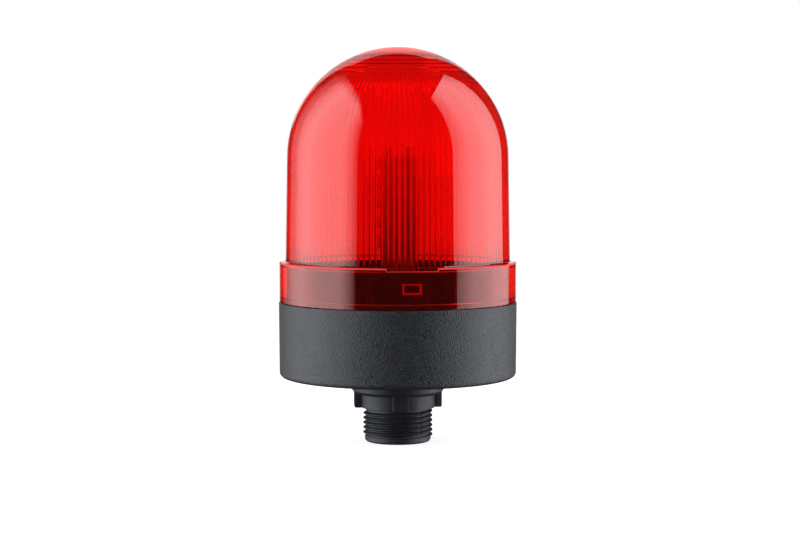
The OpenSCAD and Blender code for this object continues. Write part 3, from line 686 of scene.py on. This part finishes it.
# Light that has bounced inside the lens meets a paler floor far behind the beacon.
path = tree.nodes.new("ShaderNodeLightPath")
seen = combine(tree, "MULTIPLY", path.outputs["Is Camera Ray"], 0.72)
through = combine(tree, "MULTIPLY", path.outputs["Is Transmission Ray"], 0.22)
bounced = combine(tree, "MULTIPLY", path.outputs["Is Transmission Ray"],
                  combine(tree, "GREATER_THAN", path.outputs["Glossy Depth"], 0.5))
far_behind = between(tree, axes(tree, coords)["Y"], 0, 0.75, 0.3, 0.8)
through = combine(tree, "ADD", through, combine(tree, "MULTIPLY", bounced, far_behind))
glow = tree.nodes.new("ShaderNodeEmission")
tree.links.new(combine(tree, "ADD", seen, through), glow.inputs["Strength"])
both = tree.nodes.new("ShaderNodeAddShader")
tree.links.new(matte.outputs[0], both.inputs[0])
tree.links.new(glow.outputs[0], both.inputs[1])
tree.links.new(both.outputs[0], tree.nodes["Material Output"].inputs["Surface"])

floor_half, floor_z = 8, -0.0247
bm = bmesh.new()
bmesh.ops.create_grid(bm, x_segments=2, y_segments=2, size=floor_half)
bmesh.ops.translate(bm, vec=(0, 0, floor_z), verts=bm.verts[:])
floor_mesh = bpy.data.meshes.new("floor")
bm.to_mesh(floor_mesh)
bm.free()
floor_mesh.materials.append(pale_floor)
floor = bpy.data.objects.new("floor", floor_mesh)
bpy.context.scene.collection.objects.link(floor)
floor.visible_glossy = False

# The lens shows white where light goes straight through it, and after a bounce white behind it and less
# above and in front. Other gloss sees the backdrop right behind the beacon, and a dim fill lights the rest.
world = bpy.data.worlds.new("studio")
bpy.context.scene.world = world
world.use_nodes = True
tree = world.node_tree
path = tree.nodes.new("ShaderNodeLightPath")
way = axes(tree, tree.nodes.new("ShaderNodeTexCoord").outputs["Generated"])
in_glass = combine(tree, "GREATER_THAN", path.outputs["Transmission Depth"], 0.5)
straight = combine(tree, "LESS_THAN", path.outputs["Glossy Depth"], 0.5)
bounced = combine(tree, "GREATER_THAN", path.outputs["Glossy Depth"], 0.5)
low_down = combine(tree, "MULTIPLY", bounced, between(tree, way["Z"], 1, 0.65, 0.45, 0.7))
behind = combine(tree, "MULTIPLY", low_down, between(tree, way["Y"], 0.5, 1, -0.3, 0.4))
straight_white = combine(tree, "MULTIPLY", straight, 0.93)
through = combine(tree, "MULTIPLY", in_glass, combine(tree, "MAXIMUM", straight_white, behind))
white = combine(tree, "MAXIMUM", path.outputs["Is Camera Ray"], through)
backdrop = between(tree, way["Y"], 0.025, 1, 0.93, 0.99)
gloss = combine(tree, "MULTIPLY", path.outputs["Is Glossy Ray"], backdrop)
fill = combine(tree, "MULTIPLY", path.outputs["Is Diffuse Ray"], 0.5)
level = combine(tree, "MAXIMUM", white, combine(tree, "MAXIMUM", gloss, fill))
tree.nodes["Background"].inputs["Color"].default_value = (1, 1, 1, 1)
tree.links.new(level, tree.nodes["Background"].inputs["Strength"])


def soft_lamp(name, place, facing, wide, tall, *slopes):
    """Large flat lamp out of the camera's sight. Its glow is the product of its slopes.

    A slope is a direction, a start and an end along it in metres, and the glow at each.
    """
    lamp = bpy.data.lights.new(name, "AREA")
    lamp.shape = "RECTANGLE"
    lamp.size, lamp.size_y = wide, tall
    lamp.energy = math.pi * wide * tall
    lamp.use_nodes = True
    tree = lamp.node_tree
    spot = tree.nodes.new("ShaderNodeNewGeometry")
    glow = None
    for way, start, end, start_glow, end_glow in slopes:
        along = tree.nodes.new("ShaderNodeVectorMath")
        along.operation = "DOT_PRODUCT"
        along.inputs[1].default_value = way
        tree.links.new(spot.outputs["Position"], along.inputs[0])
        level = between(tree, along.outputs["Value"], start_glow, end_glow, start, end)
        glow = combine(tree, "MULTIPLY", glow, level) if glow else level
    tree.links.new(glow, tree.nodes["Emission"].inputs["Strength"])
    holder = bpy.data.objects.new(name, lamp)
    holder.location = place
    holder.rotation_euler = Vector(facing).to_track_quat("-Z", "Y").to_euler()
    holder.visible_camera = False
    bpy.context.scene.collection.objects.link(holder)


back, up, up_front = (0, 1, 0), (0, 0, 1), (0, -0.62, 0.78)
soft_lamp("left_lamp", (-0.25, 0.01, 0.1425), (1, 0, 0), 0.64, 0.685,
          (back, -0.31, -0.18, 0.2, 3.15), (back, 0.03, 0.17, 1, 0.2), (back, 0.17, 0.32, 1, 0),
          (up, 0.39, 0.485, 1, 0), (up_front, 0.43, 0.475, 1, 0))
soft_lamp("right_lamp", (0.225, 0.0025, 0.1435), (-1, 0, 0), 0.335, 0.687,
          (back, 0.03, 0.17, 3.05, 1.2), (back, -0.165, -0.07, 0.4, 1))
soft_lamp("back_lamp", (-0.0415, 0.5, 0.394), (0, -1, 0), 0.427, 0.488, (up, 0.15, 0.64, 0.7, 0.7))


# Camera
# It stands about seven tenths of a metre in front of the beacon and looks slightly down at it.
# The frame is 800 pixels wide, and the axis of the beacon is 2.2 of them beside its middle.

looks_down = 3.522
camera_data = bpy.data.cameras.new("camera")
camera_data.sensor_width = 36
camera_data.lens = 83.55
camera_data.shift_x = 2.2 / 800
camera = bpy.data.objects.new("camera", camera_data)
camera.location = (0, -0.702, 0.0848)
camera.rotation_euler = (math.radians(90 - looks_down), 0, 0)
bpy.context.scene.collection.objects.link(camera)
bpy.context.scene.camera = camera
bpy.context.scene.view_settings.view_transform = "Standard"
